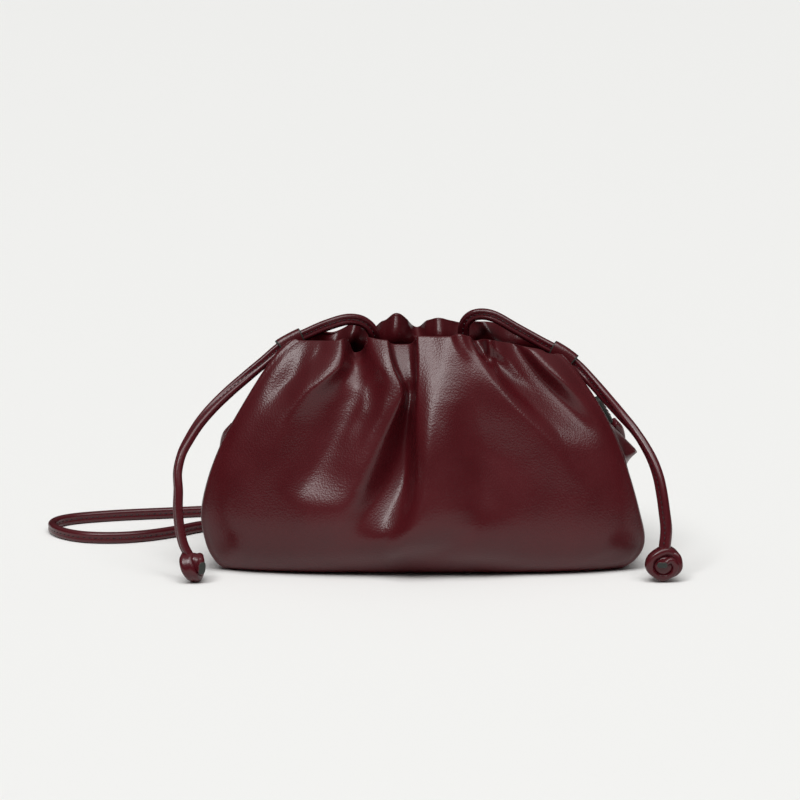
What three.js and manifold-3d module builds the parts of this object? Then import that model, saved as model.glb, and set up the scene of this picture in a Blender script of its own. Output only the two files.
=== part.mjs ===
// A small drawstring hobo bag in soft leather, standing on its base.
// Millimetres, +Z up. The origin is the middle of the base's underside, the front of the bag faces -Y,
// and left and right are as the front is seen, with the right at +X.
import * as THREE from "three";
import { mergeVertices } from "three/addons/utils/BufferGeometryUtils.js";
import Module from "manifold-3d";

const wasm = await Module();
wasm.setup();

// Driving dimensions
const leather = 1.8; // wall of every panel
const seamGap = 0.45; // between two panels that are sewn together
const cordDiameter = 5; // rolled leather of a drawcord
const strapDiameter = 6; // the same for the shoulder strap
const cordSides = 8;
const knots = {
  left: { width: 13.5, x: -114.6, y: -52, turn: 0.9 }, // its cut end faces the front and the right
  right: { width: 16.5, x: 120.3, y: -52, turn: 0 },
};
const keeper = { length: 13, wall: 0.9, slack: 0.45, sides: 12, steps: 4 }; // slack is round the cord
const keeperFromKnot = { left: 138, right: 120 }; // along the drawcord
const tab = { width: 8, thick: 3.2, tall: 15, round: 2.5, gap: 1.2, across: 0.8 };
const tabHeights = { left: 0.6, right: 0.62 }; // share of a gusset's height

// The bag's plain form, a row for each level from the base seam to the rim. left and right are half
// widths, front and back stand out from the mid plane at the middle of a panel, edge does at its side
// seams, and tuck is how far the gusset folds in between them.
const levels = [
  { height: 0, left: 94, right: 93, front: 31, back: 31, edge: 22, tuck: 0 },
  { height: 1.5, left: 103, right: 102.5, front: 36.5, back: 36, edge: 24, tuck: -1 },
  { height: 7, left: 108, right: 109.5, front: 41.5, back: 41, edge: 26, tuck: -1.5 },
  { height: 16, left: 111.5, right: 113, front: 45, back: 44, edge: 27, tuck: -1.5 },
  { height: 30, left: 113.3, right: 110.2, front: 48, back: 46.5, edge: 27, tuck: -0.5 },
  { height: 48, left: 109.5, right: 105.2, front: 48.5, back: 47, edge: 25, tuck: 1 },
  { height: 66, left: 102.4, right: 98.9, front: 46, back: 44.5, edge: 22, tuck: 3 },
  { height: 84, left: 92.6, right: 91, front: 40.5, back: 39, edge: 19, tuck: 5 },
  { height: 100, left: 83.2, right: 82.8, front: 33.5, back: 32, edge: 16, tuck: 9 },
  { height: 112, left: 75, right: 77.2, front: 26.5, back: 25, edge: 13, tuck: 9.5 },
  { height: 120, left: 67.5, right: 73.6, front: 21, back: 19, edge: 11, tuck: 9.5 },
];
const shoulderDrop = { left: 3, right: 11 }; // the rim comes down this far at its two ends
const shoulderReach = 6; // a higher power keeps the drop nearer to the rim
const backTaper = { left: 5, right: 2 }; // the back seams stand in by this much
const gussetDip = { left: 0.09, right: 0.2 }; // share of its height that a gusset's rim hangs down
const rimHeight = levels.at(-1).height;
const liftFrom = 88; // folds change the rim's height from here up
const crownPower = 2.6; // a higher power makes a panel flatter across its middle
const edgeHold = 10; // folds die out over the last stretch before a side seam
const baseInset = 1.2; // from the panels' lower edges

// Folds of a panel, a row each. A fold runs down the panel through three places along X, at its top end,
// halfway and at its low end, between two places along Z. It stands out by rise, or in where that is
// negative, and spreads to its left and right. pinch is its share of that spread at the top, and a
// higher blunt keeps it full towards its low end. Where they are given, lean tips its crest sideways and
// lift raises the rim.
const frontFolds = {
  leftPuff: { x: [-54, -62, -79], z: [119, 60], spread: [22, 15], rise: 4.5, pinch: 0.7, blunt: 2 },
  leftNotch: { x: [-37, -44, -64], z: [119, 66], spread: [9, 9], rise: -8, pinch: 0.55, blunt: 2, lift: -8 },
  finger: { x: [-25.5, -33, -64], z: [119, 38], spread: [17, 15], rise: 7, pinch: 0.4, blunt: 5 },
  fingerGroove: { x: [-22, -29, -47], z: [104, 50], spread: [6, 6], rise: -2, pinch: 0.6, blunt: 2 },
  valley: { x: [-15, -17, -42], z: [119, 28], spread: [9, 11], rise: -5.5, pinch: 0.6, blunt: 2, lift: -4 },
  creaseFacet: { x: [-8, -7, -5], z: [119, 80], spread: [9, 7], rise: -6, pinch: 0.8, blunt: 3, lift: -2.5 },
  creaseRoll: { x: [-6.5, -7, -27], z: [82, 14], spread: [9, 5], rise: 4, pinch: 0.6, blunt: 4 },
  middlePleat: { x: [3, 2, -6], z: [119, 26], spread: [5.5, 26], rise: 7, pinch: 0.8, blunt: 2, lean: -2.5 },
  sidePleat: { x: [21.5, 32, 53], z: [119, 74], spread: [16, 6], rise: 5.5, pinch: 0.7, blunt: 2, lean: 1.5 },
  rightRecess: { x: [30, 42, 64], z: [119, 72], spread: [7, 14], rise: -7, pinch: 0.6, blunt: 2, lift: -3.5 },
  rightRoll: { x: [55, 69, 91], z: [118, 62], spread: [13, 11], rise: 4.5, pinch: 0.7, blunt: 3, lean: 0.5 },
  rightCheek: { x: [44, 62, 90], z: [100, 62], spread: [14, 14], rise: 3, pinch: 0.8, blunt: 3 },
  bellyHollow: { x: [22, 30, 38], z: [76, 12], spread: [24, 24], rise: -1.8, pinch: 0.6, blunt: 2 },
  leftCornerDent: { x: [-92, -99, -106], z: [28, 12], spread: [10, 14], rise: -2.5, pinch: 1, blunt: 2 },
  rightCornerDent: { x: [106, 99, 90], z: [26, 8], spread: [12, 9], rise: -3, pinch: 1, blunt: 2 },
};
const backFolds = {
  puffLeft: { x: [-54, -62, -80], z: [119, 56], spread: [20, 15], rise: 4, pinch: 0.7, blunt: 2 },
  notchLeft: { x: [-40, -46, -60], z: [119, 62], spread: [8, 9], rise: -6, pinch: 0.7, blunt: 2, lift: -2 },
  rollLeft: { x: [-26, -31, -50], z: [119, 44], spread: [12, 12], rise: 5, pinch: 0.6, blunt: 4, lift: -4 },
  peak: { x: [-12, -15, -24], z: [119, 52], spread: [8, 9], rise: -5, pinch: 0.8, blunt: 2, lift: 4 },
  rollMiddle: { x: [-1, -2, -6], z: [119, 40], spread: [9, 10], rise: 5, pinch: 0.6, blunt: 4, lift: -3.5 },
  valleyMiddle: { x: [10, 11, 14], z: [119, 50], spread: [7, 7], rise: -4, pinch: 0.8, blunt: 2 },
  rollRight: { x: [22, 26, 38], z: [119, 44], spread: [10, 11], rise: 5, pinch: 0.6, blunt: 4, lift: -1 },
  valleyRight: { x: [35, 41, 54], z: [119, 58], spread: [9, 9], rise: -6, pinch: 0.8, blunt: 2, lift: 1.5 },
  puffRight: { x: [52, 61, 80], z: [119, 56], spread: [14, 18], rise: 4, pinch: 0.7, blunt: 2 },
};
// Where a gusset folds outwards between its seams: the height of the fold's edge, its reach above and
// below that edge, and how far it stands out.
const bulges = {
  left: { height: 66, above: 14, below: 12, rise: 4 },
  right: { height: 57, above: 12, below: 9, rise: 10.5 },
};
const bulgeSharpness = 1.3;

// Routes of the drawcords, from the casing in the back of the rim through the keeper to the knot
const drawcordRoutes = {
  left: [
    [-22.6, 27.2, 104.6], [-23.2, 20.5, 106.8], [-24.4, 14.2, 111.4], [-26, 10.5, 117.6], [-27.8, 9.5, 120.6],
    [-32.2, 8, 123.9], [-38.9, 5.5, 125.1], [-49.7, 2, 122.6], [-61, -0.5, 118], [-67.4, -2, 115.1],
    [-73.6, -3.5, 111.6], [-81.8, -6.5, 104.9], [-90.2, -10, 98.2], [-99.2, -15.5, 91], [-107.1, -21, 83.9],
    [-113.6, -27, 76.8], [-118.4, -32.5, 69.7], [-122.1, -37.5, 62.6], [-123.9, -42, 54.3],
    [-123.4, -45.5, 45.8], [-123.5, -48, 36.1], [-122.5, -49.5, 26.2], [-120.6, -50.6, 18.5],
    [-117.7, -51.3, 12.9],
  ],
  right: [
    [23.4, 27.2, 104.2], [22.8, 20.5, 106.6], [21.7, 14.6, 111.8], [21.1, 12, 119.4], [22.3, 11, 123.2],
    [25.4, 10, 126.2], [30, 9, 127.4], [36.2, 7, 126.6], [48.2, 3.5, 120.4], [60, 0.5, 114.2],
    [71.6, -3, 108.2], [79.4, -4.8, 102.2], [86.7, -9.8, 94.9], [93.8, -15, 87.3], [100.8, -19.5, 79.7],
    [107.4, -25, 72.4], [112.3, -30.5, 65.3], [116, -36, 58.2], [118.4, -40.5, 50.9], [119.8, -44, 43.4],
    [120.9, -47, 34.8], [121.7, -49.5, 26.2], [120.8, -51.6, 17],
  ],
};
const drawcordSteps = 36;

// Route of the shoulder strap between its tabs: from the right one down to the floor, along the floor
// round the loop at the left and behind the bag, and up to the left one
const strapDown = [[105.2, 35, 44], [102.5, 46, 28], [94.5, 58, 11.5], [78, 63.5, 4.2]];
const strapOnFloor = [
  [55, 64], [15, 63], [-30, 63], [-75, 64], [-103, 63.5], [-120, 58.3], [-133, 46.8], [-149, 36],
  [-165, 31.2], [-183, 33.6], [-196, 43.8], [-202.6, 57.5], [-201, 69], [-194.5, 76.2], [-174, 84.6],
  [-140, 92.2], [-124, 95.6], [-60, 106], [0, 112], [50, 113], [84, 107], [97, 94], [85, 82], [50, 78],
  [10, 78], [-30, 78],
];
const strapUp = [[-64, 73, 6.4], [-88, 62, 16], [-101.5, 49, 32], [-106, 37, 45]];
const strapLie = strapDiameter / 2 + 0.25; // height of its middle on the floor
const strapAtTab = { out: 3.7, below: 1.5 }; // where an end of the strap goes into its tab
const strapBend = { out: 0.8, below: 7, back: 3 }; // from there to where it turns towards the back
const strapSteps = 76;

// Columns and rows of each wall
const grids = {
  front: [54, 20],
  back: [36, 14],
  right: [8, 20],
  left: [8, 16],
};
const baseSteps = 12;

const oxblood = { color: 0x4a1018, roughness: 0.38, metalness: 0 };
const paintedEdge = { color: 0x23241f, roughness: 0.6, metalness: 0 };

const clamp = (value, low, high) => Math.min(high, Math.max(low, value));
const mix = (a, b, share) => a + (b - a) * share;

// Spaces columns closer together towards the side seams.
const closeToSeams = (flat) => 1.5 * flat - 0.5 * flat ** 3;

// A column of the levels table at a share of the way from the base seam to the rim.
function levelAt(column, share) {
  const place = clamp(share, 0, 1) * (levels.length - 1);
  const row = Math.min(Math.floor(place), levels.length - 2);
  const value = (step) => levels[clamp(row + step, 0, levels.length - 1)][column];
  const f = place - row;
  const [before, from, to, after] = [value(-1), value(0), value(1), value(2)];
  const bend = 2 * before - 5 * from + 4 * to - after;
  const turn = 3 * (from - to) + after - before;
  return from + 0.5 * f * (to - before + f * (bend + f * turn));
}

// How strongly a fold shows at a point of its panel, from 0 to 1 at its crest.
function foldStrength(fold, across, up) {
  const [top, low] = fold.z;
  const along = clamp((top - up) / (top - low), 0, 1);
  const [from, half, to] = fold.x;
  const start = 4 * half - 3 * from - to;
  const bow = 2 * (from - 2 * half + to);
  const centre = from + along * (start + along * bow);
  const slant = (start + 2 * along * bow) / (top - low);
  const off = (across - centre) / Math.hypot(1, slant);
  const fade = 1 - along ** fold.blunt;
  const width = fold.spread[off < 0 ? 0 : 1] * mix(fold.pinch, 1, along) * Math.sqrt(fade);
  return Math.abs(off) < width ? fade * (1 - (off / width) ** 2) ** 2 : 0;
}

// The sum of a table of folds at a point: out of the panel, sideways, and up at the rim.
function foldShift(folds, across, up) {
  const shift = { out: 0, side: 0, lift: 0 };
  const nearRim = clamp((up - liftFrom) / (rimHeight - liftFrom), 0, 1) ** 2;
  for (const fold of Object.values(folds)) {
    const strength = foldStrength(fold, across, up);
    shift.out += fold.rise * strength;
    shift.side += (fold.lean ?? 0) * strength;
    shift.lift += (fold.lift ?? 0) * strength * nearRim;
  }
  return shift;
}

// The height of a level, with the drop of the rim towards its two ends.
function heightAt(across, share) {
  const drop = across < 0 ? shoulderDrop.left : shoulderDrop.right;
  return levelAt("height", share) - drop * Math.abs(across) ** 3 * share ** shoulderReach;
}

// A front or back panel before its folds. across runs from -1 to 1, +X being 1.
function plainPanel(column, facing) {
  return (across, share) => {
    const side = across < 0 ? "left" : "right";
    const half = levelAt(side, share) - (facing > 0 ? backTaper[side] : 0);
    const edge = levelAt("edge", share);
    const crown = Math.sqrt(Math.max(0, 1 - Math.abs(across) ** crownPower));
    const out = edge + (levelAt(column, share) - edge) * crown + seamGap;
    return new THREE.Vector3(across * half, facing * out, heightAt(across, share));
  };
}

// A side gusset. across runs from -1 at the front seam to 1 at the back seam.
function gusset(side, facing) {
  const { height: fold, above, below, rise } = bulges[side];
  return (across, share) => {
    const middle = (1 - across * across) ** 2;
    const easeBack = 0.5 + 0.75 * across - 0.25 * across ** 3;
    const level = share * (1 - gussetDip[side] * (1 - across ** 4) * share ** shoulderReach);
    const height = heightAt(facing, level);
    const off = height - fold;
    const near = 1 - clamp(Math.abs(off) / (off > 0 ? above : below), 0, 1);
    const tuck = levelAt("tuck", level) - rise * near ** bulgeSharpness;
    const out = levelAt(side, level) - tuck * middle - backTaper[side] * easeBack;
    return new THREE.Vector3(facing * out, across * (levelAt("edge", level) - seamGap), height);
  };
}

// The way out of a surface, square to it.
function outOf(surface, across, share, turn) {
  const step = 1e-3;
  const u = clamp(across, -1 + step, 1 - step);
  const t = clamp(share, step, 1 - step);
  const sideways = surface(u + step, t).sub(surface(u - step, t));
  const upward = surface(u, t + step).sub(surface(u, t - step));
  return sideways.cross(upward).multiplyScalar(turn).normalize();
}

// A front or back panel with its folds, which move the leather level, out of the plain form.
function folded(plain, folds, turn) {
  return (across, share) => {
    const point = plain(across, share);
    const hold = 1 - Math.abs(across) ** edgeHold;
    const shift = foldShift(folds, point.x, point.z);
    const out = outOf(plain, across, share, turn).setZ(0).normalize();
    point.addScaledVector(out, shift.out * hold);
    point.x += shift.side * hold;
    point.z += shift.lift * hold;
    return point;
  };
}

// A wall of leather: a flat slab in columns and rows, bent so that its outer face follows a surface and
// its inner face lies one leather deeper, square to the plain form.
function wall(surface, plain, grid, turn) {
  const geometry = new THREE.BoxGeometry(2, 1, 1, ...grid, 1);
  geometry.deleteAttribute("normal");
  geometry.deleteAttribute("uv");
  const slab = geometry.getAttribute("position");
  for (let i = 0; i < slab.count; i++) {
    const across = closeToSeams(turn * slab.getX(i));
    const share = slab.getY(i) + 0.5;
    const point = surface(across, share);
    if (slab.getZ(i) < 0) point.addScaledVector(outOf(plain, across, share, turn), -leather);
    slab.setXYZ(i, point.x, point.y, point.z);
  }
  return mergeVertices(geometry, 1e-4);
}

function solidOf(geometry) {
  const bare = new THREE.BufferGeometry().setAttribute("position", geometry.getAttribute("position"));
  if (geometry.index) bare.setIndex(geometry.index);
  const merged = mergeVertices(bare, 1e-4);
  const vertProperties = new Float32Array(merged.getAttribute("position").array);
  return new wasm.Manifold(
    new wasm.Mesh({ numProp: 3, vertProperties, triVerts: new Uint32Array(merged.index.array) }),
  );
}

function geometryOf(solid) {
  const mesh = solid.getMesh();
  return new THREE.BufferGeometry()
    .setAttribute("position", new THREE.BufferAttribute(mesh.vertProperties, 3))
    .setIndex(new THREE.BufferAttribute(mesh.triVerts, 1));
}

function curveThrough(route) {
  return new THREE.CatmullRomCurve3(route.map((point) => new THREE.Vector3(...point)), false, "centripetal");
}

function ring(radius, sides) {
  const turn = (2 * Math.PI) / sides;
  const corner = (i) => new THREE.Vector2(radius * Math.cos(i * turn), radius * Math.sin(i * turn));
  return Array.from({ length: sides }, (_, i) => corner(i));
}

// A rolled leather cord along its route.
function cord(route, diameter, steps) {
  const section = new THREE.Shape(ring(diameter / 2, cordSides));
  return new THREE.ExtrudeGeometry(section, { steps, extrudePath: curveThrough(route), curveSegments: 1 });
}

// A short leather sleeve round a drawcord, at its place along the cord.
function keeperSleeve(route, fromKnot) {
  const line = curveThrough(route);
  const whole = line.getLength();
  const along = [];
  for (let i = 0; i <= keeper.steps; i++) {
    const offset = keeper.length * (i / keeper.steps - 0.5);
    along.push(line.getPointAt((whole - fromKnot + offset) / whole).toArray());
  }
  const hole = cordDiameter / 2 + keeper.slack;
  const section = new THREE.Shape(ring(hole + keeper.wall, keeper.sides));
  section.holes.push(new THREE.Path(ring(hole, keeper.sides)));
  const sweep = { steps: keeper.steps, extrudePath: curveThrough(along), curveSegments: 1 };
  return new THREE.ExtrudeGeometry(section, sweep);
}

// An overhand knot, pulled tight: a turn of cord round a core, with the cut end through its middle
// facing -Y.
function knot(width) {
  const cutRadius = cordDiameter * 0.42;
  const turn = solidOf(new THREE.TorusGeometry((width - cordDiameter) / 2, cordDiameter / 2, 6, 14));
  const core = solidOf(new THREE.SphereGeometry(width / 2.4, 10, 6));
  const cutEnd = solidOf(new THREE.CylinderGeometry(cutRadius, cutRadius, width * 0.9, cordSides));
  return geometryOf(turn.add(core).rotate([90, 0, 0]).add(cutEnd));
}

// The base, cut to the panels' lower edges with a sewing gap all round.
function base() {
  const outline = [];
  for (const plain of [frontPlain, backPlain]) {
    const facing = Math.sign(plain(0, 0).y);
    for (let i = -baseSteps; i <= baseSteps; i++) {
      const { x, y } = plain(closeToSeams((-facing * i) / baseSteps), 0);
      const shrink = 1 - baseInset / Math.abs(x || baseInset);
      outline.push(new THREE.Vector2(x * shrink, y - facing * (baseInset + seamGap)));
    }
  }
  return new THREE.ExtrudeGeometry(new THREE.Shape(outline), { depth: leather, bevelEnabled: false });
}

// Where a strap tab lies on its gusset: the foot of the tab, the way up it and the way out of it.
function tabSeat(surface, share, turn) {
  const reach = tab.tall / rimHeight;
  const foot = surface(tab.across, share);
  const up = surface(tab.across, share + reach).sub(foot).normalize();
  const out = outOf(surface, tab.across, share + reach / 2, turn);
  return { foot, up, out };
}

// A folded leather tab that holds an end of the shoulder strap, on a gusset near its back seam.
function strapTab({ foot, up, out }) {
  const { width, thick, tall, round } = tab;
  const outline = new THREE.Shape();
  outline.moveTo(-width / 2, 0);
  outline.lineTo(width / 2, 0);
  outline.lineTo(width / 2, tall - round);
  outline.absarc(width / 2 - round, tall - round, round, 0, Math.PI / 2);
  outline.absarc(round - width / 2, tall - round, round, Math.PI / 2, Math.PI);
  const lie = new THREE.Matrix4().makeBasis(up.clone().cross(out).normalize(), up, out);
  lie.setPosition(foot.clone().addScaledVector(out, tab.gap));
  const slab = new THREE.ExtrudeGeometry(outline, { depth: thick, bevelEnabled: false, curveSegments: 3 });
  return slab.applyMatrix4(lie);
}

// The end of the strap under its tab, and the point where it turns towards the back.
function strapEnd({ foot, up, out }) {
  const end = foot.clone().addScaledVector(out, strapAtTab.out).addScaledVector(up, -strapAtTab.below);
  const bend = end.clone().addScaledVector(out, strapBend.out).addScaledVector(up, -strapBend.below);
  bend.y += strapBend.back;
  return [end.toArray(), bend.toArray()];
}

const bag = new THREE.Group();

function addPiece(name, geometry, finish) {
  const piece = new THREE.Mesh(geometry, new THREE.MeshStandardMaterial(finish));
  piece.name = name;
  bag.add(piece);
  return piece;
}

// Panels of the body
const frontPlain = plainPanel("front", -1);
const backPlain = plainPanel("back", 1);
const rightSide = gusset("right", 1);
const leftSide = gusset("left", -1);
addPiece("front_panel", wall(folded(frontPlain, frontFolds, 1), frontPlain, grids.front, 1), oxblood);
addPiece("back_panel", wall(folded(backPlain, backFolds, -1), backPlain, grids.back, -1), oxblood);
addPiece("gusset_right", wall(rightSide, rightSide, grids.right, 1), oxblood);
addPiece("gusset_left", wall(leftSide, leftSide, grids.left, -1), oxblood);
addPiece("base_panel", base(), oxblood);

// Drawcords, each through its keeper to its knot
for (const [side, route] of Object.entries(drawcordRoutes)) {
  const { width, x, y, turn } = knots[side];
  addPiece(`drawcord_${side}`, cord(route, cordDiameter, drawcordSteps), oxblood);
  addPiece(`keeper_${side}`, keeperSleeve(route, keeperFromKnot[side]), oxblood);
  const knotted = addPiece(`knot_${side}`, knot(width), oxblood);
  knotted.position.set(x, y, width / 2 + 0.2);
  knotted.rotation.z = turn;
}

// The shoulder strap between its two tabs
const rightSeat = tabSeat(rightSide, tabHeights.right, 1);
const leftSeat = tabSeat(leftSide, tabHeights.left, -1);
const onFloor = strapOnFloor.map(([x, y]) => [x, y, strapLie]);
const loop = [...strapEnd(rightSeat), ...strapDown, ...onFloor, ...strapUp, ...strapEnd(leftSeat).reverse()];
addPiece("shoulder_strap", cord(loop, strapDiameter, strapSteps), oxblood);
addPiece("strap_tab_right", strapTab(rightSeat), paintedEdge);
addPiece("strap_tab_left", strapTab(leftSeat), paintedEdge);

export default bag;
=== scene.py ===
import math

import bmesh
import bpy
import numpy as np
from mathutils import Matrix, Vector


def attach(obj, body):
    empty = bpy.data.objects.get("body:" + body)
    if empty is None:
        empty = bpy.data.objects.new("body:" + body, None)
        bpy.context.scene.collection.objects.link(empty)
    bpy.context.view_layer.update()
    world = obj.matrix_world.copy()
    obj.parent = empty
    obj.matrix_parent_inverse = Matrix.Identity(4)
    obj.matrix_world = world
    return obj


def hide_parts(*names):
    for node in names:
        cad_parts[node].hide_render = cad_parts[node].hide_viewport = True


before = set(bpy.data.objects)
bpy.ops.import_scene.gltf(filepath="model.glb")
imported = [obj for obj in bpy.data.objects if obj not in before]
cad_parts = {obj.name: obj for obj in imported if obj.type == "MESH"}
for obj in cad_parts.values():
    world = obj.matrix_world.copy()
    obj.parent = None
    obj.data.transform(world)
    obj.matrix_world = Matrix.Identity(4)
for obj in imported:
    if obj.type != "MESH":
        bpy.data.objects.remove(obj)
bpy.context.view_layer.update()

mm = 0.001  # the tables below are in millimetres, the meshes in metres
print("frame loaded,", len(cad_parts), "nodes")


# camera, at the photograph's place
shot = {"place": (-12, -1227, 300), "target": (-12, 4.1, 83), "lens": 108.17, "sensor": 36}


def addCamera():
    data = bpy.data.cameras.new("photoCamera")
    data.lens = shot["lens"]
    data.sensor_width = shot["sensor"]
    camera = bpy.data.objects.new("photoCamera", data)
    place = Vector(shot["place"])
    camera.location = place * mm
    camera.rotation_euler = (Vector(shot["target"]) - place).to_track_quat("-Z", "Y").to_euler()
    bpy.context.scene.collection.objects.link(camera)
    bpy.context.scene.camera = camera


addCamera()


# studio: pale floor, a glow that is dim at the horizon and brighter overhead, and soft lights
studio = {
    "floorSize": 90,
    "floorColor": (0.86, 0.86, 0.845, 1),
    "floorRough": 0.75,
    "floorShine": 0.2,
    "warmth": (1, 0.995, 0.985),
    "glow": [(-0.2, 0.02), (0.3, 0.03), (0.6, 0.15), (1.0, 0.4)],
    "suns": [
        {"name": "leftSoftbox", "height": 50, "from": -124, "angle": 20, "power": 1.2},
        {"name": "topSoftbox", "height": 64, "from": -86, "angle": 36, "power": 1.6},
        {"name": "rightSoftbox", "height": 48, "from": -48, "angle": 20, "power": 0.45},
    ],
}


def addStudio():
    scene = bpy.context.scene
    scene.view_settings.view_transform = "Standard"
    world = bpy.data.worlds.new("studioGlow")
    world.use_nodes = True
    tree = world.node_tree
    place = tree.nodes.new("ShaderNodeTexCoord")
    split = tree.nodes.new("ShaderNodeSeparateXYZ")
    ramp = tree.nodes.new("ShaderNodeValToRGB")
    span = studio["glow"][-1][0] - studio["glow"][0][0]
    scale = tree.nodes.new("ShaderNodeMapRange")
    scale.inputs["From Min"].default_value = studio["glow"][0][0]
    scale.inputs["From Max"].default_value = studio["glow"][-1][0]
    for i, (height, bright) in enumerate(studio["glow"]):
        stop = ramp.color_ramp.elements[i] if i < 2 else ramp.color_ramp.elements.new(1)
        stop.position = (height - studio["glow"][0][0]) / span
        stop.color = (*(bright * tone for tone in studio["warmth"]), 1)
    tree.links.new(place.outputs["Object"], split.inputs["Vector"])
    tree.links.new(split.outputs["Z"], scale.inputs["Value"])
    tree.links.new(scale.outputs["Result"], ramp.inputs["Fac"])
    tree.links.new(ramp.outputs["Color"], tree.nodes["Background"].inputs["Color"])
    scene.world = world
    for row in studio["suns"]:
        data = bpy.data.lights.new(row["name"], "SUN")
        data.energy = row["power"]
        data.angle = math.radians(row["angle"])
        sun = bpy.data.objects.new(row["name"], data)
        height, around = math.radians(row["height"]), math.radians(row["from"])
        level = math.cos(height)
        way = Vector((level * math.cos(around), level * math.sin(around), math.sin(height)))
        sun.rotation_euler = way.to_track_quat("Z", "Y").to_euler()
        scene.collection.objects.link(sun)
    bm = bmesh.new()
    bmesh.ops.create_grid(bm, x_segments=1, y_segments=1, size=studio["floorSize"] / 2)
    mesh = bpy.data.meshes.new("floor")
    bm.to_mesh(mesh)
    bm.free()
    floor = bpy.data.objects.new("floor", mesh)
    scene.collection.objects.link(floor)
    paint = bpy.data.materials.new("paleFloor")
    paint.use_nodes = True
    shader = paint.node_tree.nodes["Principled BSDF"]
    shader.inputs["Base Color"].default_value = studio["floorColor"]
    shader.inputs["Roughness"].default_value = studio["floorRough"]
    shader.inputs["Specular IOR Level"].default_value = studio["floorShine"]
    mesh.materials.append(paint)


addStudio()
print("camera, floor and lights set")


# leather, its edge paint and the thread: dark and light tone, range of roughness, pebbles, creases, depth
leathers = {
    "pebbleScale": 1050,
    "pebbleSoft": 0.35,
    "creaseScale": 420,
    "creaseRough": 0.62,
    "mottleScale": 38,
    "shine": 0.39,
    "toneStops": (0.32, 0.70),
    "roughStops": (0.3, 0.7),
    "bump": 0.5,
    "oxbloodLeather": {
        "dark": (0.054, 0.0036, 0.0058), "light": (0.068, 0.0052, 0.0080), "rough": (0.28, 0.35),
        "pebble": 1.0, "crease": 0.25, "depth": 0.15},
    "rolledLeather": {
        "dark": (0.054, 0.0045, 0.0074), "light": (0.069, 0.0060, 0.0096), "rough": (0.22, 0.30),
        "pebble": 0.4, "crease": 0.4, "depth": 0.12},
    "edgePaint": {
        "dark": (0.014, 0.016, 0.013), "light": (0.028, 0.031, 0.026), "rough": (0.45, 0.60),
        "pebble": 0.3, "crease": 0.8, "depth": 0.12},
    "waxedThread": {
        "dark": (0.010, 0.002, 0.003), "light": (0.018, 0.003, 0.004), "rough": (0.35, 0.50),
        "pebble": 0.2, "crease": 0.8, "depth": 0.08},
}


def wire(tree, start, socket, end, entry):
    tree.links.new(start.outputs[socket], end.inputs[entry])


def grainGroup():
    group = bpy.data.node_groups.new("leatherGrain", "ShaderNodeTree")
    group.interface.new_socket("Vector", in_out="INPUT", socket_type="NodeSocketVector")
    for name in ("Pebble", "Crease"):
        group.interface.new_socket(name, in_out="INPUT", socket_type="NodeSocketFloat")
    for name in ("Height", "Mottle"):
        group.interface.new_socket(name, in_out="OUTPUT", socket_type="NodeSocketFloat")
    nodes = group.nodes
    inside = nodes.new("NodeGroupInput")
    outside = nodes.new("NodeGroupOutput")
    pebble = nodes.new("ShaderNodeTexVoronoi")
    pebble.feature = "SMOOTH_F1"
    pebble.inputs["Scale"].default_value = leathers["pebbleScale"]
    pebble.inputs["Smoothness"].default_value = leathers["pebbleSoft"]
    crease = nodes.new("ShaderNodeTexNoise")
    crease.inputs["Scale"].default_value = leathers["creaseScale"]
    crease.inputs["Detail"].default_value = 6
    crease.inputs["Roughness"].default_value = leathers["creaseRough"]
    mottle = nodes.new("ShaderNodeTexNoise")
    mottle.inputs["Scale"].default_value = leathers["mottleScale"]
    mottle.inputs["Detail"].default_value = 5
    for node in (pebble, crease, mottle):
        wire(group, inside, "Vector", node, "Vector")
    tall = nodes.new("ShaderNodeMath")
    tall.operation = "MULTIPLY"
    wire(group, pebble, "Distance", tall, 0)
    wire(group, inside, "Pebble", tall, 1)
    worn = nodes.new("ShaderNodeMath")
    worn.operation = "MULTIPLY"
    wire(group, crease, "Fac", worn, 0)
    wire(group, inside, "Crease", worn, 1)
    both = nodes.new("ShaderNodeMath")
    both.operation = "ADD"
    wire(group, tall, 0, both, 0)
    wire(group, worn, 0, both, 1)
    wire(group, both, 0, outside, "Height")
    wire(group, mottle, "Fac", outside, "Mottle")
    return group


leatherGrain = grainGroup()


def leather(name):
    row = leathers[name]
    material = bpy.data.materials.new(name)
    material.use_nodes = True
    tree = material.node_tree
    shader = tree.nodes["Principled BSDF"]
    shader.inputs["Specular IOR Level"].default_value = leathers["shine"]
    place = tree.nodes.new("ShaderNodeTexCoord")
    grain = tree.nodes.new("ShaderNodeGroup")
    grain.node_tree = leatherGrain
    grain.inputs["Pebble"].default_value = row["pebble"]
    grain.inputs["Crease"].default_value = row["crease"]
    wire(tree, place, "Object", grain, "Vector")
    tint = tree.nodes.new("ShaderNodeValToRGB")
    for stop, at, tone in zip(tint.color_ramp.elements, leathers["toneStops"], (row["dark"], row["light"])):
        stop.position = at
        stop.color = (*tone, 1)
    wire(tree, grain, "Mottle", tint, "Fac")
    wire(tree, tint, "Color", shader, "Base Color")
    gloss = tree.nodes.new("ShaderNodeMapRange")
    for span, ends in (("From", leathers["roughStops"]), ("To", row["rough"])):
        gloss.inputs[span + " Min"].default_value = ends[0]
        gloss.inputs[span + " Max"].default_value = ends[1]
    wire(tree, grain, "Mottle", gloss, "Value")
    wire(tree, gloss, "Result", shader, "Roughness")
    bump = tree.nodes.new("ShaderNodeBump")
    bump.inputs["Strength"].default_value = leathers["bump"]
    bump.inputs["Distance"].default_value = row["depth"] * mm
    wire(tree, grain, "Height", bump, "Height")
    wire(tree, bump, "Normal", shader, "Normal")
    return material


oxblood = leather("oxbloodLeather")
rolled = leather("rolledLeather")
edgePaint = leather("edgePaint")
thread = leather("waxedThread")
print("leathers mixed")


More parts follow.
